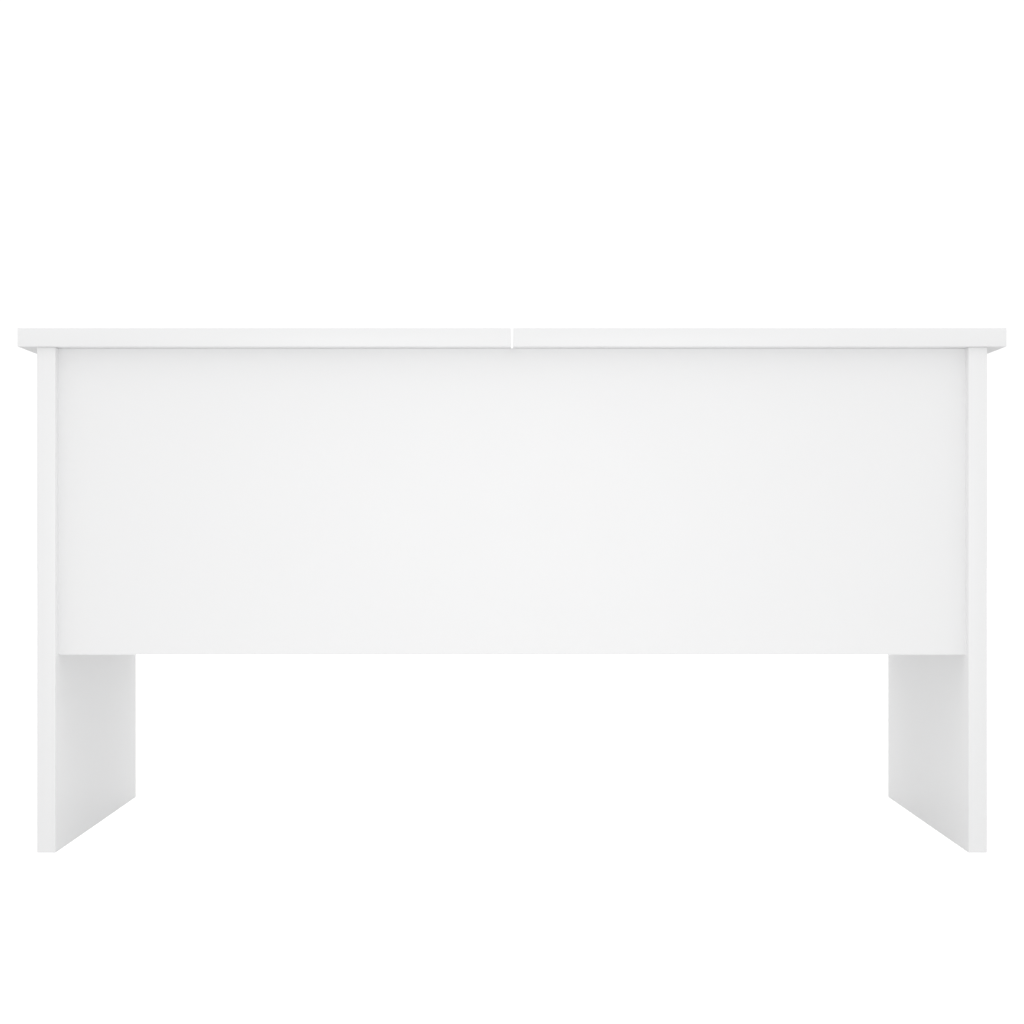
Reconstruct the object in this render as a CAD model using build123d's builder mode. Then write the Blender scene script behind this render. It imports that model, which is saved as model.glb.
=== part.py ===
from build123d import *
from math import atan2, cos, degrees, dist, pi, radians, sin, tan
import os

# White lift top coffee table. Millimetres, +Z up, front towards -Y, origin on the floor under the middle.

# Boards
table_width = 800.0
table_depth = 500.0
table_height = 425.0
board = 15.0
end_overhang = 15.0
front_overhang = 5.0
apron_recess = 15.0
floor_clearance = 160.0
leaf_gap = 2.0
bumper_stand = 0.1
bumper_radius = 4.0
bumper_inset = 60.0
edge_strip = 1.0
strip_chamfer = 0.4
strip_joint = 0.1
bottom_lift = 10.0
groove_depth = 5.0
groove_play = 0.1

# Board joints. Small rounds that nothing turns on are drawn with a few flat sides.
joint_inset = 50.0
cam_setback = 24.0
cam_radius = 7.4
cam_skin = 3.0
cam_bolt_radius = 3.2
dowel_radius = 4.0
dowel_in_end = 20.0
blind_skin = 4.0
fastener_play = 0.1
cam_sides = 6
fastener_sides = 6

# Lift mechanism, layered outwards from the wall that carries it
sheet = 2.0
web_standoff = 6.0
riser_angle = 45.0
layer_play = 0.3
arm_steel = 3.0
arm_width = 22.0
outline_sides = 12
closed_angle = 6.0
lift_angle = 116.0
front_pivot_back = 45.0
pivot_step_back = 110.0
pivot_step_down = 45.0
rear_room = 66.0
top_pivot_drop = 18.0
pivot_radius = 4.0
pivot_play = 0.05
rivet_tenon = 2.6
rivet_head_radius = 7.0
rivet_head = 2.0
rivet_head_sides = 8
bracket_margin = 16.0
foot_length = 22.0
foot_height = 44.0
foot_gap = 3.0
flange_width = 28.0
flange_rear = 40.0
flange_front = 60.0
flange_screw_inset = 14.0
plate_margin = 13.0
stop_reach = 40.0
stop_length = 14.0
stop_pad = 2.0
screw_radius = 2.0
screw_head_radius = 4.0
screw_head = 2.2
screw_spacing = 26.0
bolt_radius = 2.5
nut_radius = 4.6
nut_height = 4.0

# Lift springs, one for each leaf, between a post on the bracket and a pin on the rear arm's lever
lever_length = 28.0
lever_width = 16.0
spring_slope = -8.0
spring_raised_length = 95.0
spring_layer = 22.0
coil_radius = 4.0
wire_radius = 1.0
wire_sides = 4
coil_turns = 5
coil_pitch = 8.0
coil_entry = 40.0
entry_length = 5.0
wire_samples = 600
post_radius = 2.8
post_head_radius = 5.0
post_head = 2.0

# Levels and faces that follow from the sizes above
leaf_under = table_height - board
carcass_top = leaf_under - bumper_stand
side_outer = table_width / 2 - end_overhang
side_inner = side_outer - board
side_front = table_depth / 2 - front_overhang
apron_outer = side_front - apron_recess
apron_inner = apron_outer - board
apron_middle = (apron_outer + apron_inner) / 2
bottom_under = floor_clearance + bottom_lift
bottom_top = bottom_under + board
divider_face = board / 2
tongue = groove_depth - groove_play
core_top = carcass_top - edge_strip
core_bottom = floor_clearance + edge_strip
blind_depth = board - blind_skin
joint_levels = (floor_clearance + joint_inset, carcass_top - joint_inset)
dowel_level = sum(joint_levels) / 2

# Layers of the mechanism, as distances from its wall
web_front = web_standoff + sheet
arm_near = web_front + layer_play
arm_far = arm_near + arm_steel
plate_near = arm_far + layer_play
plate_far = plate_near + sheet
flange_middle = plate_near + flange_width / 2

# Pivots, as (Y, Z) with the leaf closed
reach_back = 2 * apron_inner - front_pivot_back - pivot_step_back - rear_room
arm_length = reach_back / cos(radians(closed_angle))
top_front = (-apron_inner + front_pivot_back + reach_back, leaf_under - top_pivot_drop)
top_rear = (top_front[0] + pivot_step_back, top_front[1] - pivot_step_down)
base_front = (top_front[0] - reach_back, top_front[1] - arm_length * sin(radians(closed_angle)))
base_rear = (base_front[0] + pivot_step_back, base_front[1] - pivot_step_down)


def polar(point, length, angle):
    """The point at a length and an angle in degrees from another, both as (Y, Z)."""
    return (point[0] + length * cos(radians(angle)), point[1] + length * sin(radians(angle)))


def halfway(first, second):
    """The middle of two points."""
    return tuple((a + b) / 2 for a, b in zip(first, second))


# The lever's closed and raised ends lie on one line with the spring's anchor
lever_angle = spring_slope - 90 - lift_angle / 2
lever_closed = polar(base_rear, lever_length, lever_angle)
lever_raised = polar(base_rear, lever_length, lever_angle + lift_angle)
anchor = polar(lever_raised, spring_raised_length, spring_slope)
raised_angle = closed_angle + lift_angle
stop_offset = arm_width / 2 + layer_play + stop_pad
stop_face = polar(polar(base_rear, stop_reach, raised_angle), stop_offset, raised_angle + 90)

# Ends of the base bracket along Y, and its screws
bracket_front = -apron_inner + foot_gap
riser_front = bracket_front + foot_length
riser_rear = anchor[0] + bracket_margin
riser_run = web_standoff / tan(radians(riser_angle))
bracket_rear = riser_rear + riser_run + foot_length
foot_screws = [
    (end, foot[1] + offset)
    for end, foot in (
        (bracket_front + foot_length / 2, base_front),
        (bracket_rear - foot_length / 2, anchor),
    )
    for offset in (-screw_spacing / 2, screw_spacing / 2)
]
flange_start = base_front[0] + flange_front
flange_end = top_rear[0] + flange_rear
flange_screws = (
    flange_start + flange_screw_inset,
    (flange_start + flange_end) / 2,
    flange_end - flange_screw_inset,
)

sides = (("left", -1), ("right", 1))
faces = (("front", -1), ("back", 1))
# Name, face of the wall and the way into the compartment of each mechanism
mechanisms = (
    ("left_outer", -side_inner, 1),
    ("left_inner", -divider_face, -1),
    ("right_inner", divider_face, 1),
    ("right_outer", side_inner, -1),
)


def slab(x_range, y_range, z_range, mode=Mode.ADD):
    """A rectangular block between three pairs of limits, in the part being built."""
    with BuildSketch(Plane.XY.offset(z_range[0])) as outline:
        with Locations(halfway((x_range[0], y_range[0]), (x_range[1], y_range[1]))):
            Rectangle(abs(x_range[1] - x_range[0]), abs(y_range[1] - y_range[0]))
    extrude(outline.sketch, amount=z_range[1] - z_range[0], mode=mode)


def rod(plane, points, radius, length, corners=0, mode=Mode.ADD):
    """Round rods, or rods with flat sides, standing on a plane along its normal."""
    with BuildSketch(plane) as section:
        with Locations(*points):
            if corners:
                RegularPolygon(radius, corners)
            else:
                Circle(radius)
    extrude(section.sketch, amount=length, mode=mode)


def layer(wall, way, points, near, far, radius, corners=0, mode=Mode.ADD):
    """Rods across the layers of a mechanism, between two distances from its wall."""
    rod(Plane.YZ.offset(wall + way * near), points, radius, way * (far - near), corners, mode)


def link(first, second, width):
    """A flat bar between two pivots with faceted round ends, in the sketch being drawn."""
    away = Vector(*second) - Vector(*first)
    angle = degrees(atan2(away.Y, away.X))
    with Locations(halfway(first, second)):
        Rectangle(away.length, width, rotation=angle)
    with Locations(first, second):
        facet = 180 / outline_sides
        RegularPolygon(width / 2, outline_sides, major_radius=False, rotation=angle + facet)


def lipping(start, along, outward, length):
    """An edge strip with eased arrises: its start, its run, the way it faces and its length."""
    with BuildSketch(Plane(origin=start, x_dir=outward, z_dir=along)) as profile:
        Rectangle(edge_strip, board, align=(Align.MIN, Align.CENTER))
        chamfer(profile.vertices().group_by(Axis.X)[-1], strip_chamfer)
    extrude(profile.sketch, amount=length)


def save(part, name):
    """Name a finished part and write its file."""
    part.label = name
    export_step(part, f"parts/{name}.step")


os.makedirs("parts", exist_ok=True)

# Side panels stand on the floor, with a groove for the bottom panel and bores for the board joints
for name, side in sides:
    with BuildPart() as side_panel:
        slab(
            (side * side_inner, side * side_outer),
            (-side_front + edge_strip, side_front - edge_strip),
            (edge_strip, core_top),
        )
        slab(
            (side * side_inner, side * (side_inner + groove_depth)),
            (-apron_inner - groove_depth, apron_inner + groove_depth),
            (bottom_under - groove_play, bottom_top + groove_play),
            mode=Mode.SUBTRACT,
        )
        inner_face = side * side_inner
        for y in (-apron_middle, apron_middle):
            bolt_points = [(y, z) for z in joint_levels]
            bolt_bore = cam_bolt_radius + fastener_play
            layer(inner_face, side, bolt_points, 0, blind_depth, bolt_bore, fastener_sides, Mode.SUBTRACT)
            dowel_bore = dowel_radius + fastener_play
            dowel_point = [(y, dowel_level)]
            layer(inner_face, side, dowel_point, 0, blind_depth, dowel_bore, fastener_sides, Mode.SUBTRACT)
        pilot = screw_radius + fastener_play
        layer(inner_face, side, foot_screws, 0, blind_depth, pilot, fastener_sides, Mode.SUBTRACT)
    save(side_panel.part, f"{name}_side_panel")

    middle = side * (side_inner + side_outer) / 2
    core_front = side_front - edge_strip
    with BuildPart() as side_strips:
        for _, way in faces:
            lipping((middle, way * core_front, 0), (0, 0, 1), (0, way, 0), carcass_top)
        run = core_front - strip_joint
        for level, up in ((core_top, 1), (edge_strip, -1)):
            lipping((middle, -run, level), (0, 1, 0), (0, 0, up), 2 * run)
    save(side_strips.part, f"{name}_side_edge_strips")

# Aprons run between the side panels, grooved for the bottom panel and the divider, with holes for the bumpers
bumper_spots = [side * x for _, side in sides for x in (bumper_inset, side_inner - bumper_inset)]
for name, way in faces:
    inward = Plane(origin=(0, way * apron_inner, 0), x_dir=(1, 0, 0), z_dir=(0, way, 0))
    with BuildPart() as apron:
        slab((-side_inner, side_inner), (way * apron_inner, way * apron_outer), (core_bottom, core_top))
        groove_span = (way * apron_inner, way * (apron_inner + groove_depth))
        bottom_span = (bottom_under - groove_play, bottom_top + groove_play)
        slab((-side_inner, side_inner), groove_span, bottom_span, mode=Mode.SUBTRACT)
        divider_span = (-divider_face - groove_play, divider_face + groove_play)
        slab(divider_span, groove_span, (bottom_top, core_top), mode=Mode.SUBTRACT)
        height_sign = -way
        for _, side in sides:
            cam_points = [(side * (side_inner - cam_setback), height_sign * z) for z in joint_levels]
            cam_bore = cam_radius + fastener_play
            rod(inward, cam_points, cam_bore, board - cam_skin, cam_sides, Mode.SUBTRACT)
            bolt_points = [(way * apron_middle, z) for z in joint_levels]
            bolt_bore = cam_bolt_radius + fastener_play
            end_face = side * side_inner
            layer(end_face, -side, bolt_points, 0, cam_setback, bolt_bore, fastener_sides, Mode.SUBTRACT)
            dowel_bore = dowel_radius + fastener_play
            dowel_point = [(way * apron_middle, dowel_level)]
            layer(end_face, -side, dowel_point, 0, dowel_in_end, dowel_bore, fastener_sides, Mode.SUBTRACT)
    save(apron.part, f"{name}_apron")

    with BuildPart() as apron_strips:
        for level, up in ((core_top, 1), (core_bottom, -1)):
            start = (-side_inner, way * apron_middle, level)
            lipping(start, (1, 0, 0), (0, 0, up), 2 * side_inner)
        points = [(x, way * apron_middle) for x in bumper_spots]
        bumper_hole = bumper_radius + fastener_play
        rod(Plane.XY.offset(core_top), points, bumper_hole, edge_strip, fastener_sides, Mode.SUBTRACT)
    save(apron_strips.part, f"{name}_apron_edge_strips")

# The bottom panel sits in the grooves of the aprons and the side panels
with BuildPart() as bottom_panel:
    slab(
        (-side_inner - tongue, side_inner + tongue),
        (-apron_inner - tongue, apron_inner + tongue),
        (bottom_under, bottom_top),
    )
save(bottom_panel.part, "bottom_panel")

# The divider stands on the bottom panel under the slit, with its ends in the aprons' grooves
with BuildPart() as divider:
    slab(
        (-divider_face, divider_face),
        (-apron_inner - tongue, apron_inner + tongue),
        (bottom_top, core_top),
    )
    bolt_hole = bolt_radius + fastener_play
    layer(-divider_face, 1, foot_screws, 0, board, bolt_hole, fastener_sides, Mode.SUBTRACT)
save(divider.part, "centre_divider")

with BuildPart() as divider_strip:
    lipping((0, -apron_inner, core_top), (0, 1, 0), (0, 0, 1), 2 * apron_inner)
save(divider_strip.part, "divider_edge_strip")

# Cam locks in the aprons draw the side panels in by bolts, and dowels keep them in line
with BuildPart() as cam_locks:
    for _, way in faces:
        inward = Plane(origin=(0, way * apron_inner, 0), x_dir=(1, 0, 0), z_dir=(0, way, 0))
        for _, side in sides:
            cam_x = side * (side_inner - cam_setback)
            for z in joint_levels:
                rod(inward, [(cam_x, -way * z)], cam_radius, board - cam_skin, cam_sides)
                mouth = cam_bolt_radius + fastener_play
                mouth_x = (cam_x - side * mouth, cam_x + side * (cam_radius + fastener_play))
                mouth_y = (way * apron_middle - mouth, way * apron_middle + mouth)
                slab(mouth_x, mouth_y, (z - mouth, z + mouth), mode=Mode.SUBTRACT)
save(cam_locks.part, "cam_locks")

with BuildPart() as cam_bolts:
    for _, way in faces:
        for _, side in sides:
            points = [(way * apron_middle, z) for z in joint_levels]
            root = -side * (blind_depth - fastener_play)
            start = side * side_inner - root
            layer(start, -side, points, 0, abs(root) + cam_setback, cam_bolt_radius, fastener_sides)
save(cam_bolts.part, "cam_bolts")

with BuildPart() as dowels:
    for _, way in faces:
        for _, side in sides:
            into_side = blind_depth - fastener_play
            start = side * (side_inner + into_side)
            length = into_side + dowel_in_end - fastener_play
            layer(start, -side, [(way * apron_middle, dowel_level)], 0, length, dowel_radius, fastener_sides)
save(dowels.part, "wood_dowels")

# Clear bumpers let into the aprons' top strips carry the closed leaves, a hair above the boards
with BuildPart() as bumpers:
    for _, way in faces:
        points = [(x, way * apron_middle) for x in bumper_spots]
        rod(Plane.XY.offset(core_top), points, bumper_radius, edge_strip + bumper_stand, fastener_sides)
save(bumpers.part, "leaf_bumpers")

# Base brackets: pressed steel with a raised web between two feet, and a tab that stops the rear arm
for name, wall, way in mechanisms:
    bend = sheet * tan(radians(riser_angle / 2))
    profile = (
        (bracket_front, 0),
        (riser_front, 0),
        (riser_front + riser_run, web_standoff),
        (riser_rear, web_standoff),
        (riser_rear + riser_run, 0),
        (bracket_rear, 0),
        (bracket_rear, sheet),
        (riser_rear + riser_run + bend, sheet),
        (riser_rear + bend, web_front),
        (riser_front + riser_run - bend, web_front),
        (riser_front - bend, sheet),
        (bracket_front, sheet),
    )
    low = anchor[1] - foot_height
    high = base_front[1] + foot_height
    with BuildPart() as base_bracket:
        with BuildSketch(Plane.XY.offset(low)):
            Polygon(*[(wall + way * depth, y) for y, depth in profile], align=None)
        extrude(amount=high - low)
        with BuildSketch(Plane.YZ.offset(wall)):
            with Locations(base_front, base_rear, anchor):
                RegularPolygon(bracket_margin, outline_sides)
            make_hull()
            with Locations((bracket_front, base_front[1])):
                Rectangle(base_front[0] - bracket_front, foot_height, align=(Align.MIN, Align.CENTER))
            with Locations((bracket_rear, anchor[1])):
                Rectangle(bracket_rear - anchor[0], foot_height, align=(Align.MAX, Align.CENTER))
        extrude(amount=way * web_front, mode=Mode.INTERSECT)
        tab_middle = polar(stop_face, sheet / 2, raised_angle + 90)
        with BuildSketch(Plane.YZ.offset(wall + way * web_standoff)):
            with Locations(tab_middle):
                Rectangle(stop_length, sheet, rotation=raised_angle)
        extrude(amount=way * (arm_far - web_standoff))
        tenon_hole = rivet_tenon + fastener_play
        pivots = (base_front, base_rear)
        layer(wall, way, pivots, 0, web_front, tenon_hole, fastener_sides, Mode.SUBTRACT)
        if "outer" in name:
            layer(wall, way, [anchor], 0, web_front, tenon_hole, fastener_sides, Mode.SUBTRACT)
        shank_hole = (screw_radius if "outer" in name else bolt_radius) + fastener_play
        layer(wall, way, foot_screws, 0, sheet, shank_hole, fastener_sides, Mode.SUBTRACT)
    save(base_bracket.part, f"{name}_base_bracket")

with BuildPart() as stop_pads:
    for _, wall, way in mechanisms:
        pad_middle = polar(stop_face, stop_pad / 2, raised_angle - 90)
        with BuildSketch(Plane.YZ.offset(wall + way * arm_near)):
            with Locations(pad_middle):
                Rectangle(stop_length, stop_pad, rotation=raised_angle)
        extrude(amount=way * arm_steel)
save(stop_pads.part, "raised_stop_pads")

# Base rivets: a tenon set in the web, a round shank that the arm turns on, and a head
with BuildPart() as base_rivets:
    for _, wall, way in mechanisms:
        for pivot in (base_front, base_rear):
            layer(wall, way, [pivot], web_standoff, web_front, rivet_tenon, fastener_sides)
            layer(wall, way, [pivot], web_front, plate_near, pivot_radius)
            layer(wall, way, [pivot], plate_near, plate_near + rivet_head, rivet_head_radius, rivet_head_sides)
save(base_rivets.part, "base_pivot_rivets")

# Screws of the outer base brackets
with BuildPart() as base_screws:
    for name, wall, way in mechanisms:
        if "outer" in name:
            tip = blind_depth - fastener_play
            layer(wall, way, foot_screws, -tip, sheet, screw_radius, fastener_sides)
            layer(wall, way, foot_screws, sheet, sheet + screw_head, screw_head_radius, fastener_sides)
save(base_screws.part, "base_bracket_screws")

# Bolts through the divider hold its two base brackets back to back
with BuildPart() as divider_bolts:
    bolt_end = divider_face + sheet + nut_height
    layer(0, 1, foot_screws, -divider_face - sheet, bolt_end, bolt_radius, fastener_sides)
    head_from = -divider_face - sheet - screw_head
    layer(0, 1, foot_screws, head_from, head_from + screw_head, nut_radius, fastener_sides)
save(divider_bolts.part, "divider_bolts")

with BuildPart() as divider_nuts:
    nut_from = divider_face + sheet
    layer(0, 1, foot_screws, nut_from, nut_from + nut_height, nut_radius, fastener_sides)
    bore = bolt_radius + fastener_play
    layer(0, 1, foot_screws, nut_from, nut_from + nut_height, bore, fastener_sides, Mode.SUBTRACT)
save(divider_nuts.part, "divider_nuts")

# Posts on the outer base brackets hold the fixed ends of the lift springs
with BuildPart() as spring_posts:
    for name, wall, way in mechanisms:
        if "outer" in name:
            post_end = spring_layer + coil_radius
            layer(wall, way, [anchor], web_standoff, web_front, rivet_tenon, fastener_sides)
            layer(wall, way, [anchor], web_front, post_end, post_radius, fastener_sides)
            layer(wall, way, [anchor], post_end, post_end + post_head, post_head_radius, fastener_sides)
save(spring_posts.part, "spring_anchor_posts")

# Arms: flat steel links. The outer rear arms carry a lever for the spring.
for name, wall, way in mechanisms:
    pivot_hole = pivot_radius + pivot_play
    for which, base, top in (("front", base_front, top_front), ("rear", base_rear, top_rear)):
        has_lever = which == "rear" and "outer" in name
        with BuildPart() as arm:
            with BuildSketch(Plane.YZ.offset(wall + way * arm_near)):
                link(base, top, arm_width)
                if has_lever:
                    link(base, lever_closed, lever_width)
                with Locations(base, top):
                    Circle(pivot_hole, mode=Mode.SUBTRACT)
                if has_lever:
                    with Locations(lever_closed):
                        RegularPolygon(rivet_tenon + fastener_play, fastener_sides, mode=Mode.SUBTRACT)
            extrude(amount=way * arm_steel)
        save(arm.part, f"{name}_{which}_arm")

for side_name, _ in sides:
    for name, wall, way in mechanisms:
        if name == f"{side_name}_outer":
            with BuildPart() as lever_pin:
                pin_end = spring_layer + coil_radius
                layer(wall, way, [lever_closed], arm_near, arm_far, rivet_tenon, fastener_sides)
                layer(wall, way, [lever_closed], arm_far, pin_end, post_radius, fastener_sides)
                head_end = pin_end + post_head
                layer(wall, way, [lever_closed], pin_end, head_end, post_head_radius, fastener_sides)
            save(lever_pin.part, f"{side_name}_lever_pin")

# Leaves of the top, each with edge strips and pilot bores for its bracket screws
for side_name, side in sides:
    inner_edge = side * leaf_gap / 2
    outer_edge = side * table_width / 2
    leaf_brackets = [m for m in mechanisms if m[0].startswith(side_name)]
    core_x = (inner_edge + side * edge_strip, outer_edge - side * edge_strip)
    core_y = table_depth / 2 - edge_strip
    with BuildPart() as leaf:
        slab(core_x, (-core_y, core_y), (leaf_under, table_height))
        for _, wall, way in leaf_brackets:
            points = [(wall + way * flange_middle, y) for y in flange_screws]
            pilot = screw_radius + fastener_play
            rod(Plane.XY.offset(leaf_under), points, pilot, blind_depth, fastener_sides, Mode.SUBTRACT)
    save(leaf.part, f"{side_name}_leaf")

    level = leaf_under + board / 2
    with BuildPart() as leaf_strips:
        for _, way in faces:
            start = (min(inner_edge, outer_edge), way * core_y, level)
            lipping(start, (1, 0, 0), (0, way, 0), abs(outer_edge - inner_edge))
        run = core_y - strip_joint
        for edge, outward in ((core_x[0], -side), (core_x[1], side)):
            lipping((edge, -run, level), (0, 1, 0), (outward, 0, 0), 2 * run)
    save(leaf_strips.part, f"{side_name}_leaf_edge_strips")

    # Top brackets: an angle whose flange is screwed under the leaf and whose plate carries the top pivots
    for name, wall, way in leaf_brackets:
        with BuildPart() as top_bracket:
            with BuildSketch(Plane.YZ.offset(wall + way * plate_near)):
                with Locations(top_front, top_rear):
                    RegularPolygon(plate_margin, outline_sides)
                edge_level = leaf_under - sheet / 2
                with Locations((top_front[0] - flange_rear, edge_level), (flange_end - sheet, edge_level)):
                    Rectangle(sheet, sheet)
                make_hull()
                with Locations((halfway((flange_start,), (flange_end,))[0], leaf_under - plate_margin / 2)):
                    Rectangle(flange_end - flange_start, plate_margin)
            extrude(amount=way * sheet)
            flange_x = (wall + way * plate_near, wall + way * (plate_near + flange_width))
            slab(flange_x, (flange_start, flange_end), (leaf_under - sheet, leaf_under))
            tenon_hole = rivet_tenon + fastener_play
            pivots = (top_front, top_rear)
            layer(wall, way, pivots, plate_near, plate_far, tenon_hole, fastener_sides, Mode.SUBTRACT)
            points = [(wall + way * flange_middle, y) for y in flange_screws]
            shank_hole = screw_radius + fastener_play
            under_flange = Plane.XY.offset(leaf_under - sheet)
            rod(under_flange, points, shank_hole, sheet, fastener_sides, Mode.SUBTRACT)
        save(top_bracket.part, f"{name}_top_bracket")

    with BuildPart() as top_rivets:
        for _, wall, way in leaf_brackets:
            for pivot in (top_front, top_rear):
                head_near = web_front - rivet_head
                layer(wall, way, [pivot], head_near, web_front, rivet_head_radius, rivet_head_sides)
                layer(wall, way, [pivot], web_front, plate_near, pivot_radius)
                layer(wall, way, [pivot], plate_near, plate_far, rivet_tenon, fastener_sides)
    save(top_rivets.part, f"{side_name}_top_pivot_rivets")

    with BuildPart() as top_screws:
        for _, wall, way in leaf_brackets:
            points = [(wall + way * flange_middle, y) for y in flange_screws]
            head_plane = Plane.XY.offset(leaf_under - sheet - screw_head)
            rod(head_plane, points, screw_head_radius, screw_head, fastener_sides)
            shank_plane = Plane.XY.offset(leaf_under - sheet)
            rod(shank_plane, points, screw_radius, sheet + blind_depth - fastener_play, fastener_sides)
    save(top_screws.part, f"{side_name}_top_bracket_screws")


def biarc(start, heading, end, end_heading):
    """Two tangent arcs between two points with given headings, drawn in the line being built."""
    gap = end - start
    both = heading + end_heading
    bulge = 2 * (1 - heading.dot(end_heading))
    along = gap.dot(both)
    run = (-along + (along**2 + bulge * gap.dot(gap)) ** 0.5) / bulge
    first_control = start + heading * run
    second_control = end - end_heading * run
    joint = (first_control + second_control) / 2
    TangentArc(start, joint, tangent=heading)
    TangentArc(joint, end, tangent=(second_control - first_control).normalized())


def coil_point(frame, along, angle):
    """A point of the coil, at a distance along the spring and an angle from its legs."""
    turn = radians(angle)
    return frame.from_local_coords((along, coil_radius * cos(turn), coil_radius * sin(turn)))


def coil_heading(frame, angle):
    """The wire's heading in the coil, at an angle from the legs."""
    turn = radians(angle)
    circling = 2 * pi * coil_radius
    heading = (coil_pitch, -circling * sin(turn), circling * cos(turn))
    return (frame.from_local_coords(heading) - frame.origin).normalized()


def hook(frame, along, start):
    """A half turn round a post in two quarter arcs, from an angle to the spring's run."""
    bends = [radians(start - step) for step in (0, 45, 90, 135, 180)]
    points = [
        frame.from_local_coords((along + coil_radius * cos(bend), coil_radius * sin(bend), 0))
        for bend in bends
    ]
    ThreePointArc(*points[:3])
    ThreePointArc(*points[2:])


# Lift springs: one wire each, hooked on the post, with a leg, the coil, a leg and a hook on the lever's pin
for side_name, side in sides:
    spring_x = side * (side_inner - spring_layer)
    fixed_end = Vector(spring_x, *anchor)
    moving_end = Vector(spring_x, *lever_closed)
    frame = Plane(origin=fixed_end, x_dir=moving_end - fixed_end, z_dir=(-side, 0, 0))
    length = (moving_end - fixed_end).length
    tail = 2 * wire_radius
    coil_span = coil_pitch * (coil_turns - 2 * coil_entry / 360)
    coil_start = (length - coil_span) / 2
    coil_end = coil_start + coil_span
    first_angle = coil_entry
    last_angle = 360 * coil_turns - coil_entry
    with BuildPart() as spring:
        with BuildLine() as wire:
            Line(coil_point(frame, tail, 180), coil_point(frame, 0, 180))
            hook(frame, 0, -90)
            leg_end = coil_point(frame, coil_start - entry_length, 0)
            Line(coil_point(frame, 0, 0), leg_end)
            here = coil_point(frame, coil_start, first_angle)
            biarc(leg_end, frame.x_dir, here, coil_heading(frame, first_angle))
            angle = first_angle
            while angle < last_angle:
                next_angle = min(angle + 180, last_angle)
                next_along = coil_start + coil_pitch * (next_angle - first_angle) / 360
                there = coil_point(frame, next_along, next_angle)
                biarc(here, coil_heading(frame, angle), there, coil_heading(frame, next_angle))
                here = there
                angle = next_angle
            leg_start = coil_point(frame, coil_end + entry_length, 0)
            biarc(here, coil_heading(frame, last_angle), leg_start, frame.x_dir)
            Line(leg_start, coil_point(frame, length, 0))
            hook(frame, length, 90)
            Line(coil_point(frame, length, 180), coil_point(frame, length - tail, 180))
        path = wire.wires()[0]
        with BuildSketch(Plane(origin=path @ 0, z_dir=path % 0)):
            RegularPolygon(wire_radius, wire_sides)
        sweep(path=path, clean=False)
    save(spring.part, f"{side_name}_lift_spring")

    # Points of the wire half a turn or more apart give its least gap to itself
    samples = [tuple(path @ (i / wire_samples)) for i in range(wire_samples + 1)]
    half_turn = int(pi * coil_radius / path.length * wire_samples)
    nearest = min(dist(a, b) for i, a in enumerate(samples) for b in samples[i + half_turn :])
    print(f"{side_name} lift spring: least gap to itself {nearest - 2 * wire_radius:.2f} mm")
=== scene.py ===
from math import atan2, copysign, cos, dist, pi, radians, sin

import bpy
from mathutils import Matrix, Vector


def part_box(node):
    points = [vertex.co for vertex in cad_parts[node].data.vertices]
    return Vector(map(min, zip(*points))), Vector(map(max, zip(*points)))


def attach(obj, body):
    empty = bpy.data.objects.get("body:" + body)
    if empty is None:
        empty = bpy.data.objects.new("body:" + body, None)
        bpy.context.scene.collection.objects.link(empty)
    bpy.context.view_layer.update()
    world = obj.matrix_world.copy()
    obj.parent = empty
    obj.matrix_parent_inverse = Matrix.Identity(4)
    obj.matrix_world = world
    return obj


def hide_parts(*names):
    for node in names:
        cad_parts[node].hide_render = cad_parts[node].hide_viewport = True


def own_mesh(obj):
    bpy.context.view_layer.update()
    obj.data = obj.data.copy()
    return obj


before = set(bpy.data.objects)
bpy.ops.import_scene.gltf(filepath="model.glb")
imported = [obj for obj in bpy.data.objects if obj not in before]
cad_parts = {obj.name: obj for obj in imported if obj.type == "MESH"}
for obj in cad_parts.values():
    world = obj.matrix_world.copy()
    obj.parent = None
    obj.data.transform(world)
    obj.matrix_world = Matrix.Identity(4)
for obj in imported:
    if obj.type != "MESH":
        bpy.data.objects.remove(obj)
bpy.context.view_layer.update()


# Side panels: two boards of particle board faced with white melamine paper, sawn square and drilled.
# They stand on the floor and carry everything else. Plastic edging 1 mm thick is glued round all four edges,
# and its arrises are rounded over with a scraper.
MM = 0.001


def reckon(tree, operation, *values):
    """A Math node in a node tree, fed with numbers or with other nodes' outputs."""
    step = tree.nodes.new("ShaderNodeMath")
    step.operation = operation
    for socket, value in zip(step.inputs, values):
        if isinstance(value, float):
            socket.default_value = value
        else:
            tree.links.new(value, socket)
    return step.outputs["Value"]


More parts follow.
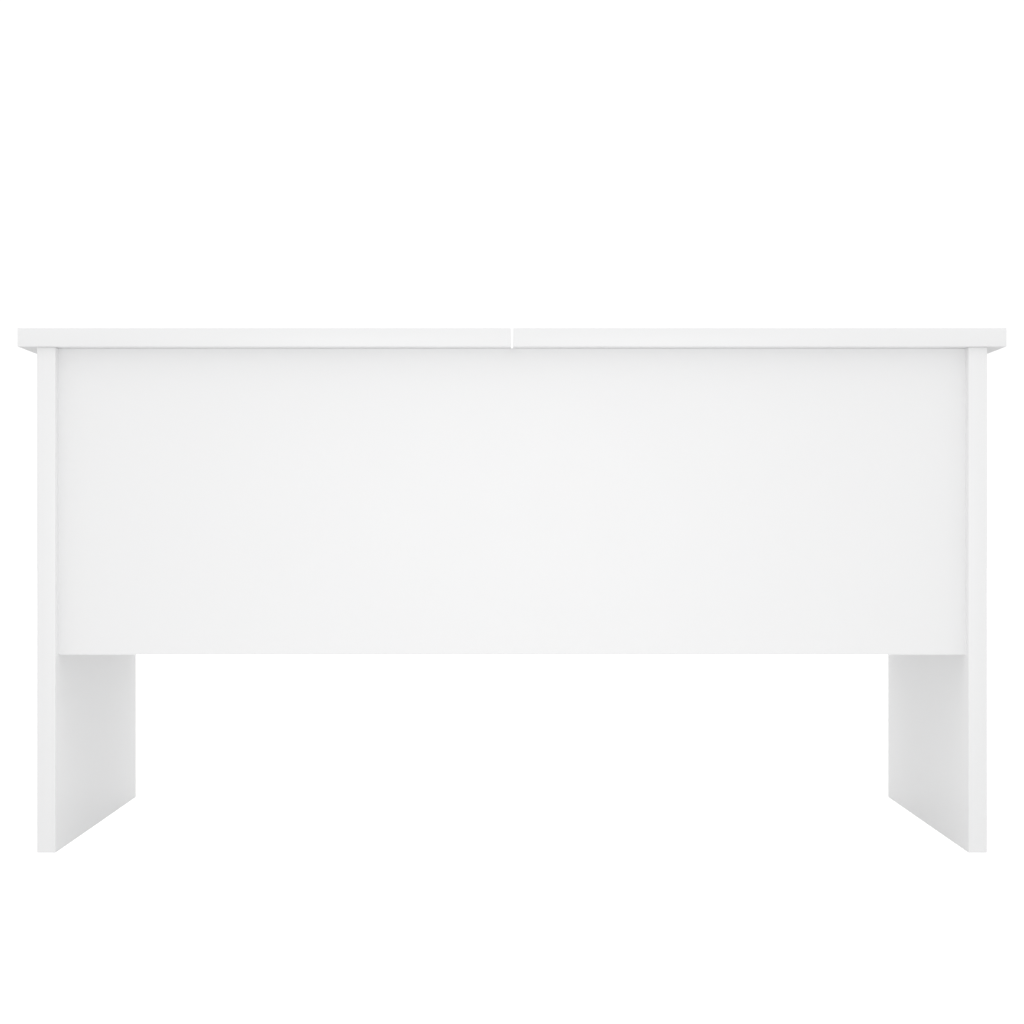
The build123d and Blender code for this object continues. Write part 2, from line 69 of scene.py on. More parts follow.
def surface_effect():
    """The effect that every finish shares: a slow drift of tone, patches of polish and a fine grain."""
    tree = bpy.data.node_groups.new("surface_character", "ShaderNodeTree")
    sockets = tree.interface
    sockets.new_socket("Colour", in_out="INPUT", socket_type="NodeSocketColor")
    for name in ("Drift Scale", "Drift", "Roughness", "Polish Spread", "Grain Scale"):
        sockets.new_socket(name, in_out="INPUT", socket_type="NodeSocketFloat")
    sockets.new_socket("Colour", in_out="OUTPUT", socket_type="NodeSocketColor")
    sockets.new_socket("Roughness", in_out="OUTPUT", socket_type="NodeSocketFloat")
    sockets.new_socket("Grain", in_out="OUTPUT", socket_type="NodeSocketFloat")
    given = tree.nodes.new("NodeGroupInput").outputs
    result = tree.nodes.new("NodeGroupOutput").inputs
    place = tree.nodes.new("ShaderNodeTexCoord").outputs["Object"]

    def noise(scale, detail):
        texture = tree.nodes.new("ShaderNodeTexNoise")
        texture.inputs["Detail"].default_value = detail
        tree.links.new(place, texture.inputs["Vector"])
        tree.links.new(scale, texture.inputs["Scale"])
        return texture.outputs["Fac"]

    drift = reckon(tree, "SUBTRACT", noise(given["Drift Scale"], 3.0), 0.5)
    tone = tree.nodes.new("ShaderNodeHueSaturation")
    tree.links.new(reckon(tree, "MULTIPLY_ADD", drift, given["Drift"], 1.0), tone.inputs["Value"])
    tree.links.new(given["Colour"], tone.inputs["Color"])
    tree.links.new(tone.outputs["Color"], result["Colour"])
    patches = noise(reckon(tree, "MULTIPLY", given["Drift Scale"], 7.0), 4.0)
    spread = reckon(tree, "MULTIPLY", reckon(tree, "SUBTRACT", patches, 0.5), given["Polish Spread"])
    tree.links.new(reckon(tree, "ADD", given["Roughness"], spread), result["Roughness"])
    tree.links.new(noise(given["Grain Scale"], 2.0), result["Grain"])
    return tree


surface_character = surface_effect()


def coating(
    name, colour, drift_scale, drift, roughness, polish_spread, grain_scale, grain_depth, metallic=0.0,
):
    """A finish: the shared surface effect with its own colour, polish and depth of grain."""
    material = bpy.data.materials.new(name)
    material.use_nodes = True
    tree = material.node_tree
    shader = tree.nodes["Principled BSDF"].inputs
    shader["Metallic"].default_value = metallic
    effect = tree.nodes.new("ShaderNodeGroup")
    effect.node_tree = surface_character
    effect.inputs["Colour"].default_value = (*colour, 1.0)
    effect.inputs["Drift Scale"].default_value = drift_scale
    effect.inputs["Drift"].default_value = drift
    effect.inputs["Roughness"].default_value = roughness
    effect.inputs["Polish Spread"].default_value = polish_spread
    effect.inputs["Grain Scale"].default_value = grain_scale
    relief = tree.nodes.new("ShaderNodeBump")
    relief.inputs["Distance"].default_value = grain_depth
    tree.links.new(effect.outputs["Colour"], shader["Base Color"])
    tree.links.new(effect.outputs["Roughness"], shader["Roughness"])
    tree.links.new(effect.outputs["Grain"], relief.inputs["Height"])
    tree.links.new(relief.outputs["Normal"], shader["Normal"])
    return material


def dress(piece, material):
    """Give a piece one material."""
    piece.data.materials.clear()
    piece.data.materials.append(material)


def seat(piece, body, material, node):
    """Finish a piece: its material, the body it moves with and the CAD node it stands for."""
    dress(piece, material)
    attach(piece, body)
    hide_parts(node)


def only(piece):
    """Leave one piece selected and active."""
    bpy.ops.object.select_all(action="DESELECT")
    piece.select_set(True)
    bpy.context.view_layer.objects.active = piece


def block(low, high):
    """A rectangular block between two corners, selected and active."""
    bpy.ops.object.select_all(action="DESELECT")
    bpy.ops.mesh.primitive_cube_add(size=1, location=[(a + b) / 2 for a, b in zip(low, high)])
    piece = bpy.context.object
    piece.scale = [b - a for a, b in zip(low, high)]
    bpy.ops.object.transform_apply(location=True, rotation=False, scale=True)
    return piece


def round_edges(piece, wanted, radius, segments):
    """Round the edges whose two ends pass a test."""
    only(piece)
    bpy.ops.object.mode_set(mode="EDIT")
    bpy.ops.mesh.select_mode(type="EDGE")
    bpy.ops.mesh.select_all(action="DESELECT")
    bpy.ops.object.mode_set(mode="OBJECT")
    for edge in piece.data.edges:
        edge.select = wanted(*[piece.data.vertices[i].co for i in edge.vertices])
    bpy.ops.object.mode_set(mode="EDIT")
    bpy.ops.mesh.bevel(offset=radius, segments=segments, affect="EDGES")
    bpy.ops.object.mode_set(mode="OBJECT")


smooth_angle = radians(35)


def joined(name, parts):
    """Join parts into one named piece, with its place in its mesh."""
    only(parts[0])
    for part in parts:
        part.select_set(True)
    bpy.ops.object.join()
    bpy.ops.object.transform_apply(location=True, rotation=True, scale=True)
    bpy.ops.object.shade_smooth_by_angle(angle=smooth_angle)
    piece = bpy.context.object
    piece.name = piece.data.name = name
    return piece


edging_thickness = 1.0 * MM
scraped_round = 0.2 * MM
arris_steps = 4
touching = 0.01 * MM


def edging(name, low, high, across, edges, arris=scraped_round):
    """Edging round a board whose thickness lies along one axis, filling a box: one strip on each named edge.
    An edge is its axis, its end (0 low, 1 high) and how its strip stops: past, between or square."""
    strips = []
    for axis, end, finish in edges:
        corners = [list(low), list(high)]
        level = corners[end][axis]
        corners[1 - end][axis] = level + (1 - 2 * end) * edging_thickness
        run = 3 - axis - across
        if finish == "between":
            corners[0][run] += edging_thickness
            corners[1][run] -= edging_thickness
        strip = block(*corners)

        def outer(a, b):
            on_face = [abs(place[axis] - level) < touching for place in (a, b)]
            if finish == "past":
                return any(on_face)
            return all(on_face) and abs(a[run] - b[run]) > edging_thickness

        round_edges(strip, outer, arris, arris_steps)
        strips.append(strip)
    return joined(name, strips)


melamine = coating(
    "white_melamine", colour=(0.900, 0.901, 0.903), drift_scale=3.0, drift=0.012,
    roughness=0.32, polish_spread=0.05, grain_scale=1500.0, grain_depth=0.002 * MM,
)
edge_plastic = coating(
    "white_edging_plastic", colour=(0.897, 0.898, 0.900), drift_scale=5.0, drift=0.010,
    roughness=0.34, polish_spread=0.05, grain_scale=900.0, grain_depth=0.002 * MM,
)
for side in ("left", "right"):
    dress(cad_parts[f"{side}_side_panel"], melamine)
    low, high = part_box(f"{side}_side_edge_strips")
    strips = [(1, 0, "past"), (1, 1, "past"), (2, 0, "between"), (2, 1, "between")]
    side_edging = edging(f"{side}_side_edging", low, high, 0, strips)
    seat(side_edging, "carcass", edge_plastic, f"{side}_side_edge_strips")


# Aprons: two deep boards of the same melamine stock between the side panels, set back from their fronts.
# Only the top and bottom edges are edged, and left almost square, because the ends are drawn up tight against
# the side panels. The top edging is drilled for the bumpers.
crisp_round = 0.05 * MM
bumper_hole = [(0, -5), (4.1, -5), (4.1, 5), (0, 5)]
merge_reach = 0.002 * MM
flat_angle = radians(1)
spin_reach = 0.001 * MM
sliver = 0.003 * MM


def merged(node, name):
    """A copy of a CAD node with its triangles merged into whole faces, selected and active."""
    piece = bpy.data.objects.new(name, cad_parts[node].data.copy())
    bpy.context.collection.objects.link(piece)
    only(piece)
    bpy.ops.object.mode_set(mode="EDIT")
    bpy.ops.mesh.select_all(action="SELECT")
    bpy.ops.mesh.remove_doubles(threshold=merge_reach)
    bpy.ops.mesh.dissolve_limited(angle_limit=flat_angle)
    bpy.ops.object.mode_set(mode="OBJECT")
    return piece


def solids(node):
    """The low corner, the high corner and the middle of each separate solid in a CAD node."""
    merged(node, "measured")
    bpy.ops.mesh.separate(type="LOOSE")
    found = []
    for part in bpy.context.selected_objects:
        axes = list(zip(*[vertex.co for vertex in part.data.vertices]))
        low, high = Vector([min(axis) for axis in axes]), Vector([max(axis) for axis in axes])
        found.append((low, high, (low + high) / 2))
    bpy.ops.object.delete()
    return sorted(found, key=lambda solid: solid[2][:])


def turned(name, profile, steps=32):
    """A part turned about Z: a point drawn along a profile of (radius, height) in millimetres, and spun."""
    bpy.ops.object.select_all(action="DESELECT")
    bpy.ops.mesh.primitive_plane_add(size=1)
    piece = bpy.context.object
    piece.name = name
    bpy.ops.object.mode_set(mode="EDIT")
    bpy.ops.mesh.select_mode(type="VERT")
    bpy.ops.mesh.merge(type="CENTER")
    corners = [Vector((radius, 0, height)) * MM for radius, height in profile]
    bpy.ops.transform.translate(value=corners[0])
    for corner, following in zip(corners, corners[1:]):
        bpy.ops.mesh.extrude_vertices_move(TRANSFORM_OT_translate={"value": following - corner})
    bpy.ops.mesh.select_all(action="SELECT")
    bpy.ops.mesh.spin(steps=steps, angle=2 * pi, center=(0, 0, 0), axis=(0, 0, 1))
    bpy.ops.mesh.select_all(action="SELECT")
    bpy.ops.mesh.remove_doubles(threshold=spin_reach)
    bpy.ops.mesh.normals_make_consistent(inside=False)
    bpy.ops.object.mode_set(mode="OBJECT")
    return piece


def clear_slivers():
    """Merge the points and take out the faces of the active piece that are too small to see."""
    bpy.ops.object.mode_set(mode="EDIT")
    bpy.ops.mesh.select_all(action="SELECT")
    bpy.ops.mesh.remove_doubles(threshold=sliver)
    bpy.ops.mesh.dissolve_degenerate(threshold=sliver)
    bpy.ops.object.mode_set(mode="OBJECT")


def cut(piece, tool, operation="DIFFERENCE"):
    """Cut a piece with a tool body, or join or trim it, and take the tool away."""
    only(piece)
    modifier = piece.modifiers.new("cut", "BOOLEAN")
    modifier.operation = operation
    modifier.solver = "EXACT"
    modifier.object = tool
    bpy.ops.object.modifier_apply(modifier=modifier.name)
    bpy.data.objects.remove(tool)
    clear_slivers()


def set_out(pattern, name, places):
    """Copies of one part, each with its own mesh and its axis turned a given way, joined in one piece."""
    parts = []
    for spot, axis in places:
        part = pattern.copy()
        part.data = pattern.data.copy()
        bpy.context.collection.objects.link(part)
        part.rotation_mode = "QUATERNION"
        part.rotation_quaternion = Vector((0, 0, 1)).rotation_difference(Vector(axis))
        part.location = spot
        parts.append(part)
    bpy.data.objects.remove(pattern)
    bpy.context.view_layer.update()
    return joined(name, parts)


bumper_seats = [(middle.x, middle.y, high.z) for low, high, middle in solids("leaf_bumpers")]
for face in ("front", "back"):
    dress(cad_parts[f"{face}_apron"], melamine)
    low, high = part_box(f"{face}_apron_edge_strips")
    strips = [(2, 0, "square"), (2, 1, "square")]
    apron_edging = edging(f"{face}_apron_edging", low, high, 1, strips, crisp_round)
    own = [(spot, (0, 0, 1)) for spot in bumper_seats if low.y < spot[1] < high.y]
    cut(apron_edging, set_out(turned("drill", bumper_hole), "drills", own))
    seat(apron_edging, "carcass", edge_plastic, f"{face}_apron_edge_strips")


# Bottom panel and centre divider: melamine boards that slide into grooves in the aprons and side panels.
# The divider stands under the slit of the top, parts the two compartments and carries the inner linkages.
dress(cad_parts["bottom_panel"], melamine)
dress(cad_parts["centre_divider"], melamine)
low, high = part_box("divider_edge_strip")
divider_edging = edging("divider_edging", low, high, 0, [(2, 1, "square")])
seat(divider_edging, "carcass", edge_plastic, "divider_edge_strip")


# Board fittings: die-cast zinc cams let into the inner faces of the aprons, with a thin rim over the bore's
# edge and a cross for the driver. Each draws a steel bolt and its side panel up tight, and beech dowels keep
# the boards in line.
def driver_cross(piece, top, length, width, depth):
    """Sink a cross recess for a driver into the top of a head, in millimetres."""
    for reach_x, reach_y in ((length, width), (width, length)):
        corner = Vector((reach_x / 2, reach_y / 2, depth)) * MM
        middle = Vector((0, 0, top * MM))
        cut(piece, block(middle - corner, middle + corner))


cam_zinc = coating(
    "cam_zinc", colour=(0.46, 0.46, 0.47), drift_scale=180.0, drift=0.10,
    roughness=0.42, polish_spread=0.12, grain_scale=2600.0, grain_depth=0.02 * MM, metallic=1.0,
)
zinc_plate = coating(
    "zinc_plate", colour=(0.60, 0.61, 0.63), drift_scale=140.0, drift=0.12,
    roughness=0.36, polish_spread=0.10, grain_scale=3000.0, grain_depth=0.008 * MM, metallic=1.0,
)
beech = coating(
    "beech_dowel", colour=(0.62, 0.45, 0.28), drift_scale=60.0, drift=0.25,
    roughness=0.62, polish_spread=0.10, grain_scale=900.0, grain_depth=0.04 * MM,
)
cam_face = 0.15
cam = turned("cam", [
    (0, -11.9), (6.0, -11.9), (6.35, -11.5), (6.35, 0), (8.2, 0), (8.2, 0.25), (7.95, 0.5), (6.3, 0.5),
    (6.0, cam_face), (0, cam_face),
], steps=48)
driver_cross(cam, top=cam_face, length=8.4, width=1.7, depth=3.0)
cam_discs = set_out(cam, "cam_discs", [
    ((middle.x, low.y if middle.y > 0 else high.y, middle.z), (0, -middle.y, 0))
    for low, high, middle in solids("cam_locks")
])
seat(cam_discs, "carcass", cam_zinc, "cam_locks")
dress(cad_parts["cam_bolts"], zinc_plate)
dress(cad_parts["wood_dowels"], beech)


# Leaf bumpers: discs of clear soft polyurethane, pressed into the holes in the aprons' top edging.
# They stand a hair proud, so that the closed leaves lie on them and not on the boards.
bumper_clearness = 0.2
clear_bumper = coating(
    "clear_bumper", colour=(0.84, 0.85, 0.86), drift_scale=400.0, drift=0.04,
    roughness=0.22, polish_spread=0.04, grain_scale=2500.0, grain_depth=0.004 * MM,
)
clear_bumper.node_tree.nodes["Principled BSDF"].inputs["Transmission Weight"].default_value = bumper_clearness
bumper = turned("bumper", [(0, -1.1), (4.0, -1.1), (4.0, -0.3), (3.92, -0.1), (3.7, 0), (0, 0)])
bumper_discs = set_out(bumper, "bumper_discs", [(spot, (0, 0, 1)) for spot in bumper_seats])
seat(bumper_discs, "carcass", clear_bumper, "leaf_bumpers")


# Base brackets: pressed from 2 mm sheet steel, with a web raised between two screwed feet and a tab bent out
# to stop the rear arm, then coated black. Outer ones are on the side panels, inner ones on the divider.
mechanisms = ("left_outer", "left_inner", "right_inner", "right_outer")
sheet = 2.0 * MM
bend_radius = 1.2 * MM
bend_steps = 3
shortest_bend = 40.0 * MM
foot_corner = 5.0 * MM
corner_steps = 5
sheet_ease = 0.3 * MM
ease_steps = 2
sharp_angle = radians(50)


def ease(piece, radius):
    """Break the sharp edges of a piece with a small round."""
    only(piece)
    modifier = piece.modifiers.new("ease", "BEVEL")
    modifier.width = radius
    modifier.segments = ease_steps
    modifier.limit_method = "ANGLE"
    modifier.angle_limit = sharp_angle
    bpy.ops.object.modifier_apply(modifier=modifier.name)
    clear_slivers()
    bpy.ops.object.shade_smooth_by_angle(angle=smooth_angle)


powder_coat = coating(
    "black_powder_coat", colour=(0.028, 0.028, 0.030), drift_scale=22.0, drift=0.30,
    roughness=0.44, polish_spread=0.10, grain_scale=1300.0, grain_depth=0.03 * MM,
)
for name in mechanisms:
    low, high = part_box(f"{name}_base_bracket")
    base_plate = merged(f"{name}_base_bracket", f"{name}_base_plate")

    def foot_end(a, b):
        at_end = min(abs(a.y - low.y), abs(a.y - high.y)) < touching
        return at_end and abs(a.x - b.x) > sheet - touching and abs(a.y - b.y) + abs(a.z - b.z) < touching

    def bend(a, b):
        inside = low.y + foot_corner < a.y < high.y - foot_corner
        return inside and abs(a.x - b.x) + abs(a.y - b.y) < touching and abs(a.z - b.z) > shortest_bend

    round_edges(base_plate, bend, bend_radius, bend_steps)
    round_edges(base_plate, foot_end, foot_corner, corner_steps)
    ease(base_plate, sheet_ease)
    seat(base_plate, "carcass", powder_coat, f"{name}_base_bracket")


# Stop pads: strips of black rubber glued to the brackets' tabs, which the raised rear arms come to rest on.
# They are cut from sheet, so their edges are only just broken.
pad_ease = 0.3 * MM
rubber = coating(
    "black_rubber", colour=(0.020, 0.020, 0.021), drift_scale=60.0, drift=0.25,
    roughness=0.72, polish_spread=0.08, grain_scale=1800.0, grain_depth=0.03 * MM,
)
stop_pads = merged("raised_stop_pads", "stop_pads")
ease(stop_pads, pad_ease)
seat(stop_pads, "carcass", rubber, "raised_stop_pads")


# Base rivets: shouldered steel rivets that the arms turn on, set in the brackets' webs and zinc plated.
# The formed head is a low dome with the small dimple that the riveting tool leaves.
compartment_middle = (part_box("right_side_panel")[0].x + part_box("centre_divider")[1].x) / 2


def open_ends(node):
    """Where each solid on a compartment's wall ends nearest the middle of it, and the way it faces."""
    ends = []
    for low, high, middle in solids(node):
        faces_right = middle.x < copysign(compartment_middle, middle.x)
        spot = (high.x if faces_right else low.x, middle.y, middle.z)
        ends.append((spot, (1 if faces_right else -1, 0, 0)))
    return ends


rivet = turned("rivet", [
    (0, -7.6), (2.6, -7.6), (2.6, -5.6), (4.0, -5.6), (4.0, -2.0), (7.0, -2.0), (7.0, -1.45), (6.6, -0.95),
    (5.6, -0.45), (4.2, -0.12), (2.6, 0), (1.5, -0.05), (1.1, -0.4), (0, -0.5),
])
base_rivets = set_out(rivet, "base_rivets", open_ends("base_pivot_rivets"))
seat(base_rivets, "carcass", zinc_plate, "base_pivot_rivets")


# Base screws: zinc plated pan head chipboard screws with a cross recess, four to each outer bracket,
# driven through the feet into the side panels.
def pan_screw(name, head_radius, head_height, shank_radius, length):
    """A pan head screw or bolt along Z, its crown at the height zero and its shank below, in millimetres."""
    crown = [(1.0, -1.0), (1.0, -0.72), (0.92, -0.38), (0.68, -0.10), (0.3, 0.0), (0.0, 0.0)]
    point = [(0, -length), (shank_radius * 0.7, -length), (shank_radius, -length + 1)]
    head = [(head_radius * across, head_height * along) for across, along in crown]
    screw = turned(name, [*point, (shank_radius, -head_height), *head])
    driver_cross(screw, top=0.0, length=head_radius * 1.15, width=head_radius * 0.25, depth=head_height * 0.6)
    return screw


def board_screw(name):
    """The chipboard screw that fixes a bracket to a board."""
    return pan_screw(name, head_radius=4.0, head_height=2.2, shank_radius=2.0, length=15.1)


base_screws = set_out(board_screw("base_screw"), "base_screws", open_ends("base_bracket_screws"))
seat(base_screws, "carcass", zinc_plate, "base_bracket_screws")


# Divider bolts and nuts: four machine screws go right through the divider and hold the two inner brackets
# back to back, with chamfered hexagon nuts on the right hand side.
bolt = pan_screw("bolt", head_radius=4.6, head_height=2.2, shank_radius=2.5, length=25.2)
divider_bolts = set_out(bolt, "divider_bolts_turned", [
    ((low.x, middle.y, middle.z), (-1, 0, 0)) for low, high, middle in solids("divider_bolts")
])
seat(divider_bolts, "carcass", zinc_plate, "divider_bolts")
nut_radius = 4.6
nut_height = 4.0
bpy.ops.object.select_all(action="DESELECT")
bpy.ops.mesh.primitive_cylinder_add(
    vertices=6, radius=nut_radius * MM, depth=nut_height * MM, location=(0, 0, nut_height / 2 * MM)
)
nut = bpy.context.object
bpy.ops.object.transform_apply(location=True, rotation=False, scale=False)
nut_chamfer = [(0, 0), (4.0, 0), (4.7, 0.6), (4.7, 3.4), (4.0, 4.0), (0, 4.0)]
nut_bore = [(0, -1), (2.5, -1), (2.5, 3.5), (3.1, 4.1), (3.1, 5), (0, 5)]
cut(nut, turned("nut_chamfer", nut_chamfer, steps=48), "INTERSECT")
cut(nut, turned("nut_bore", nut_bore, steps=24))
divider_nuts = set_out(nut, "divider_hex_nuts", [
    ((low.x, middle.y, middle.z), (1, 0, 0)) for low, high, middle in solids("divider_nuts")
])
seat(divider_nuts, "carcass", zinc_plate, "divider_nuts")


# Spring posts: turned steel posts riveted into the outer base brackets, each with a collar against the web
# and a shallow groove that keeps the fixed hook of a lift spring in its place.
grooved_end = [
    (2.8, -8.6), (2.8, -7.6), (2.6, -7.2), (2.6, -4.8), (2.8, -4.4), (2.8, -2.0),
    (5.0, -2.0), (5.0, -1.0), (4.7, -0.4), (4.0, 0), (0, 0),
]
post = turned("post", [
    (0, -22), (2.6, -22), (2.6, -20), (4.6, -20), (4.6, -19), (4.2, -18.6), (2.8, -18.6), *grooved_end,
])
anchor_posts = set_out(post, "anchor_posts", open_ends("spring_anchor_posts"))
seat(anchor_posts, "carcass", zinc_plate, "spring_anchor_posts")


# Arms: flat steel links with round ends, black like the brackets, two front and two rear to each leaf.
# The outer rear arms have a short lever below the pivot, with a turned pin that the lift spring pulls on.
arm_width = 22.0 * MM
lever_width = 16.0 * MM
arm_ease = 0.4 * MM
nearly_half = 0.4999
end_steps = 14
pivot_bore = [(0, -20), (4.05, -20), (4.05, 20), (0, 20)]


def pivots(node):
    """The (Y, Z) places of the solids in a node, front first."""
    return sorted({(round(middle.y, 5), round(middle.z, 5)) for low, high, middle in solids(node)})


def bar(first, second, width, low_x, high_x):
    """A flat link between two pivots, its four end corners rounded to half its width."""
    thickness, length = high_x - low_x, dist(first, second) + width
    corner = Vector((thickness, length, width)) / 2
    piece = block(-corner, corner)
    round_edges(piece, lambda a, b: abs(a.x - b.x) > thickness / 2, width * nearly_half, end_steps)
    piece.rotation_euler = (atan2(second[1] - first[1], second[0] - first[0]), 0, 0)
    piece.location = ((low_x + high_x) / 2, (first[0] + second[0]) / 2, (first[1] + second[1]) / 2)
    bpy.ops.object.transform_apply(location=True, rotation=True, scale=False)
    return piece


base_pivots = pivots("base_pivot_rivets")
top_pivots = pivots("left_top_pivot_rivets")
lever_end = pivots("left_lever_pin")[0]
for name in mechanisms:
    side = name.split("_")[0]
    for which, base, top in zip(("front", "rear"), base_pivots, top_pivots):
        low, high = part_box(f"{name}_{which}_arm")
        arm = bar(base, top, arm_width, low.x, high.x)
        if name.endswith("outer") and which == "rear":
            cut(arm, bar(base, lever_end, lever_width, low.x, high.x), "UNION")
        for pivot in (base, top):
            middle = ((low.x + high.x) / 2, *pivot)
            cut(arm, set_out(turned("bore", pivot_bore), "bores", [(middle, (1, 0, 0))]))
        ease(arm, arm_ease)
        arm.name = arm.data.name = f"{name}_{which}_link"
        seat(arm, f"{side}_{which}_arms", powder_coat, f"{name}_{which}_arm")
for side in ("left", "right"):
    pin = turned("pin", [
        (0, -19.7), (2.6, -19.7), (2.6, -16.7), (4.4, -16.7), (4.4, -15.7), (4.0, -15.3), (2.8, -15.3),
        *grooved_end,
    ])
    lever_stud = set_out(pin, f"{side}_lever_stud", open_ends(f"{side}_lever_pin"))
    seat(lever_stud, f"{side}_rear_arms", zinc_plate, f"{side}_lever_pin")


# Lift springs: close wound tension springs of drawn steel wire, hooked over the post and the lever's pin.
# They are stretched while a leaf is closed, and draw together as they help it up.
spring_wire = coating(
    "spring_wire", colour=(0.40, 0.40, 0.42), drift_scale=300.0, drift=0.20,
    roughness=0.36, polish_spread=0.10, grain_scale=2200.0, grain_depth=0.01 * MM, metallic=1.0,
)
wire_radius = 1.0 * MM
coil_radius = 4.0 * MM
coil_turns = 24
turn_points = 24
tail = 2.0 * MM
hook_length = 5.2 * MM
leg_length = 20.0 * MM
lead_length = 8.0 * MM
hook_steps = 16
wire_smooth_angle = radians(40)
anchor = pivots("spring_anchor_posts")[0]
for side in ("left", "right"):
    low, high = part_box(f"{side}_lift_spring")
    fixed = Vector(((low.x + high.x) / 2, *anchor))
    moving = Vector((fixed.x, *lever_end))
    length = (moving - fixed).length
    along = (moving - fixed).normalized()
    across = Vector((1, 0, 0))
    up = across.cross(along)
    half_turn = [radians(-90 - 180 * i / hook_steps) for i in range(hook_steps + 1)]
    hook = [(tail, -coil_radius)] + [(hook_length * cos(a), coil_radius * sin(a)) for a in half_turn]
    path = [(forth, rise, 0) for forth, rise in hook]
    coil_length = length - 2 * leg_length
    points = coil_turns * turn_points
    turn = 0.0
    for i in range(points + 1):
        run = coil_length * i / points
        path.append((leg_length + run, coil_radius * cos(turn), coil_radius * sin(turn)))
        lead = min(1.0, (run + wire_radius) / lead_length, (coil_length - run) / lead_length)
        turn += lead * 2 * pi * coil_turns / points * coil_length / (coil_length - lead_length)
    closing = cos(turn), sin(turn)
    path += [(length - forth, rise * closing[0], rise * closing[1]) for forth, rise in reversed(hook)]
    curve = bpy.data.curves.new(f"{side}_coil_spring", "CURVE")
    curve.dimensions = "3D"
    curve.bevel_depth = wire_radius
    curve.bevel_resolution = 3
    curve.use_fill_caps = True
    spline = curve.splines.new("POLY")
    spline.points.add(len(path) - 1)
    for point, (forth, rise, aside) in zip(spline.points, path):
        point.co = (*(fixed + along * forth + up * rise + across * aside), 1.0)
    spring = bpy.data.objects.new(f"{side}_coil_spring", curve)
    bpy.context.collection.objects.link(spring)
    only(spring)
    bpy.ops.object.convert(target="MESH")
    bpy.ops.object.shade_smooth_by_angle(angle=wire_smooth_angle)
    seat(spring, "carcass", spring_wire, f"{side}_lift_spring")
    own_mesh(spring)


# Leaves: the two halves of the top, of the same melamine stock, edged all round, with a narrow slit between.
# Each lies on its bumpers when closed and is carried by its four arms when raised.
for side in ("left", "right"):
    dress(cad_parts[f"{side}_leaf"], melamine)
    low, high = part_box(f"{side}_leaf_edge_strips")
    strips = [(1, 0, "past"), (1, 1, "past"), (0, 0, "between"), (0, 1, "between")]
    leaf_edging = edging(f"{side}_leaf_edging", low, high, 2, strips)
    seat(leaf_edging, f"{side}_lifting_leaf", edge_plastic, f"{side}_leaf_edge_strips")


# Top brackets: angles bent from the same steel sheet, black, whose flanges are screwed up under the leaves
# and whose plates hang down to carry the arms' upper pivots.
angle_bend = 2.4 * MM
angle_steps = 4
flange_corner = 6.0 * MM
for name in mechanisms:
    side = name.split("_")[0]
    low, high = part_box(f"{name}_top_bracket")
    top_angle = merged(f"{name}_top_bracket", f"{name}_top_angle")
    faces_right = high.x < copysign(compartment_middle, low.x)
    plate_x, free_x = (low.x, high.x) if faces_right else (high.x, low.x)

    def heel(a, b):
        return min(a.z, b.z) > high.z - touching and max(abs(a.x - plate_x), abs(b.x - plate_x)) < touching

    def free_corner(a, b):
        at_end = min(abs(a.y - low.y), abs(a.y - high.y)) < touching and abs(a.y - b.y) < touching
        return at_end and max(abs(a.x - free_x), abs(b.x - free_x)) < touching

    round_edges(top_angle, heel, angle_bend, angle_steps)
    round_edges(top_angle, free_corner, flange_corner, corner_steps)
    ease(top_angle, sheet_ease)
    seat(top_angle, f"{side}_lifting_leaf", powder_coat, f"{name}_top_bracket")


# Top rivets and flange screws: the same plated rivets turned round, with heads behind the arms and ends
# peened over on the plates, and three pan head screws that hold each flange up to its leaf.
for side in ("left", "right"):
    top_rivet = turned("top_rivet", [
        (0, -7.6), (5.4, -7.6), (6.6, -7.1), (7.0, -6.4), (7.0, -5.6), (4.0, -5.6), (4.0, -2.0), (2.6, -2.0),
        (2.6, 0), (4.3, 0), (4.2, 0.4), (3.4, 0.8), (1.8, 1.0), (0, 1.0),
    ])
    top_rivets = set_out(top_rivet, f"{side}_top_rivets", open_ends(f"{side}_top_pivot_rivets"))
    seat(top_rivets, f"{side}_lifting_leaf", zinc_plate, f"{side}_top_pivot_rivets")
    flange_screws = set_out(board_screw("flange_screw"), f"{side}_flange_screws", [
        ((middle.x, middle.y, low.z), (0, 0, -1))
        for low, high, middle in solids(f"{side}_top_bracket_screws")
    ])
    seat(flange_screws, f"{side}_lifting_leaf", zinc_plate, f"{side}_top_bracket_screws")


# Studio: a floor covered with white paper, which throws back some light and also glows with painted light,
# most some way before the table and least beyond its ends, a white surround a little brighter to the two
# sides, and a soft light just above the camera. The floor and the surround are shown pure white, whatever
# light they give.
floor_size = 40.0
paper_tone = 0.42
paper_glow = 0.168
middle_glow = 0.32
middle_half_width = 0.5
front_glow = 0.146
front_start = 0.35
front_ramp = 0.65
bpy.ops.object.select_all(action="DESELECT")
bpy.ops.mesh.primitive_plane_add(size=floor_size, location=(0, 0, 0))
floor = bpy.context.object
floor.name = "studio_floor"
floor_white = bpy.data.materials.new("studio_floor_white")
floor_white.use_nodes = True
tree = floor_white.node_tree
floor_shader = tree.nodes["Principled BSDF"].inputs
floor_shader["Base Color"].default_value = (paper_tone, paper_tone, paper_tone, 1.0)
floor_shader["Roughness"].default_value = 0.9
floor_shader["Specular IOR Level"].default_value = 0.0
floor_shader["Emission Color"].default_value = (1.0, 1.0, 1.0, 1.0)
# Painted light: the paper's glow, which lights the table, is a painted pool of light. It is strongest in a
# strip in line with the table, stronger again some way before it, and weakest beyond its ends.
spot = tree.nodes.new("ShaderNodeSeparateXYZ")
tree.links.new(tree.nodes.new("ShaderNodeTexCoord").outputs["Object"], spot.inputs["Vector"])
off_middle = reckon(tree, "DIVIDE", reckon(tree, "ABSOLUTE", spot.outputs["X"]), middle_half_width)
falling_off = reckon(tree, "ADD", reckon(tree, "POWER", off_middle, 4.0), 1.0)
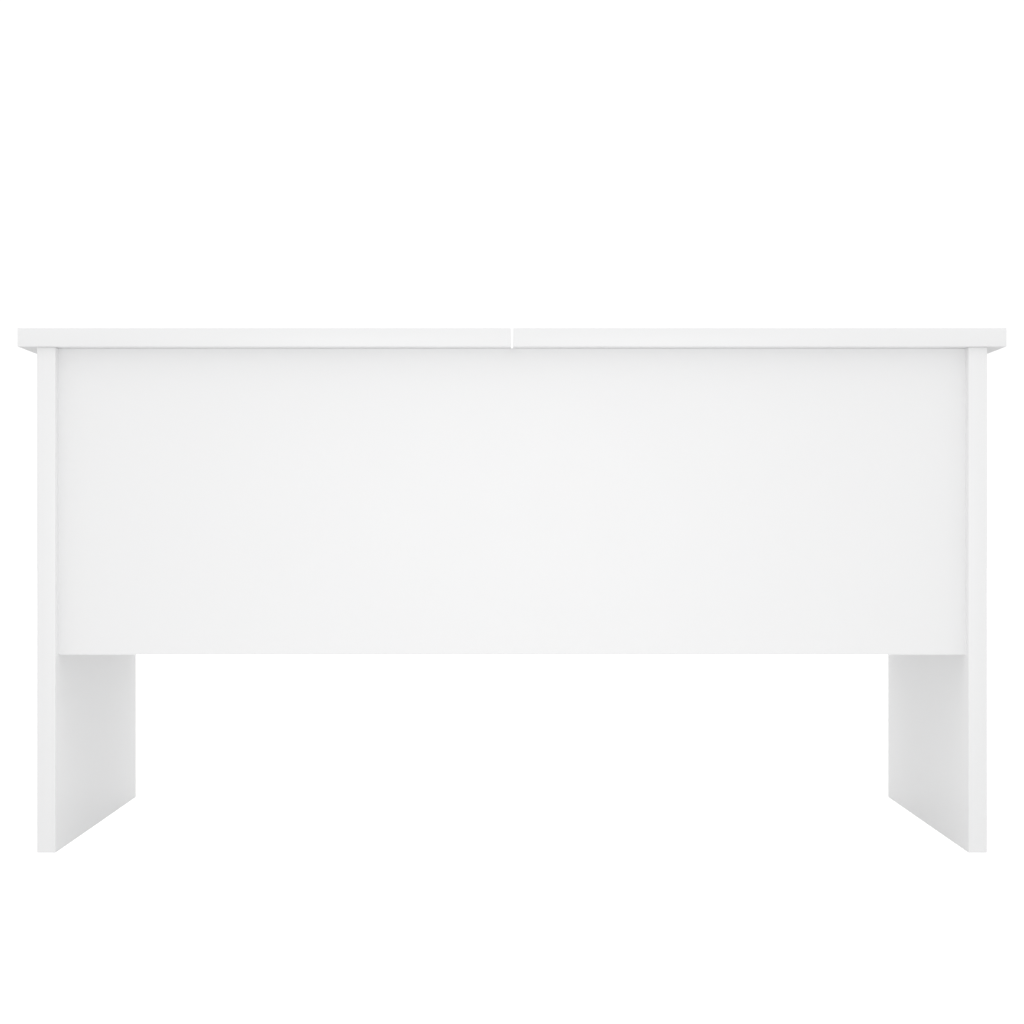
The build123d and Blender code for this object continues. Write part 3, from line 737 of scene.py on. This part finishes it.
glow = reckon(tree, "ADD", reckon(tree, "DIVIDE", middle_glow, falling_off), paper_glow)
before = reckon(tree, "MULTIPLY_ADD", spot.outputs["Y"], -1 / front_ramp, -front_start / front_ramp)
before = reckon(tree, "MINIMUM", reckon(tree, "MAXIMUM", before, 0.0), 1.0)
glow = reckon(tree, "MULTIPLY_ADD", before, front_glow, glow)
seen = tree.nodes.new("ShaderNodeLightPath").outputs["Is Camera Ray"]
tree.links.new(reckon(tree, "MAXIMUM", glow, seen), floor_shader["Emission Strength"])
dress(floor, floor_white)

scene = bpy.context.scene
surround_light = 0.893
sideways_light = 0.20
shown_white = 1.1
surround = bpy.data.worlds.new("white_surround")
surround.use_nodes = True
scene.world = surround
tree = surround.node_tree
tree.nodes.clear()
direction = tree.nodes.new("ShaderNodeSeparateXYZ")
tree.links.new(tree.nodes.new("ShaderNodeTexCoord").outputs["Generated"], direction.inputs["Vector"])
sideways = reckon(tree, "ABSOLUTE", direction.outputs["X"])
brightness = reckon(tree, "MULTIPLY_ADD", sideways, sideways_light, surround_light)
lit = tree.nodes.new("ShaderNodeBackground")
tree.links.new(brightness, lit.inputs["Strength"])
shown = tree.nodes.new("ShaderNodeBackground")
for background in (lit, shown):
    background.inputs["Color"].default_value = (1.0, 1.0, 1.0, 1.0)
shown.inputs["Strength"].default_value = shown_white
choice = tree.nodes.new("ShaderNodeMixShader")
tree.links.new(tree.nodes.new("ShaderNodeLightPath").outputs["Is Camera Ray"], choice.inputs["Fac"])
tree.links.new(lit.outputs["Background"], choice.inputs[1])
tree.links.new(shown.outputs["Background"], choice.inputs[2])
tree.links.new(choice.outputs["Shader"], tree.nodes.new("ShaderNodeOutputWorld").inputs["Surface"])

softbox_place = (0, -2.6, 0.33)
softbox_aim = Vector((0, 0, 0.3))
softbox_size = (0.8, 0.36)
softbox_power = 3.3
bpy.ops.object.light_add(type="AREA", location=softbox_place)
softbox = bpy.context.object
softbox.name = "front_softbox"
softbox.data.shape = "RECTANGLE"
softbox.data.size, softbox.data.size_y = softbox_size
softbox.data.energy = softbox_power
softbox.rotation_euler = (softbox_aim - softbox.location).to_track_quat("-Z", "Y").to_euler()

camera_place = (0, -2.534, 0.2566)
bpy.ops.object.camera_add(location=camera_place, rotation=(radians(90), 0, 0))
camera = bpy.context.object
camera.name = "camera"
camera.data.sensor_width = 36.0
camera.data.lens = 99.3
camera.data.shift_y = 0.0237
scene.camera = camera
scene.view_settings.view_transform = "Standard"
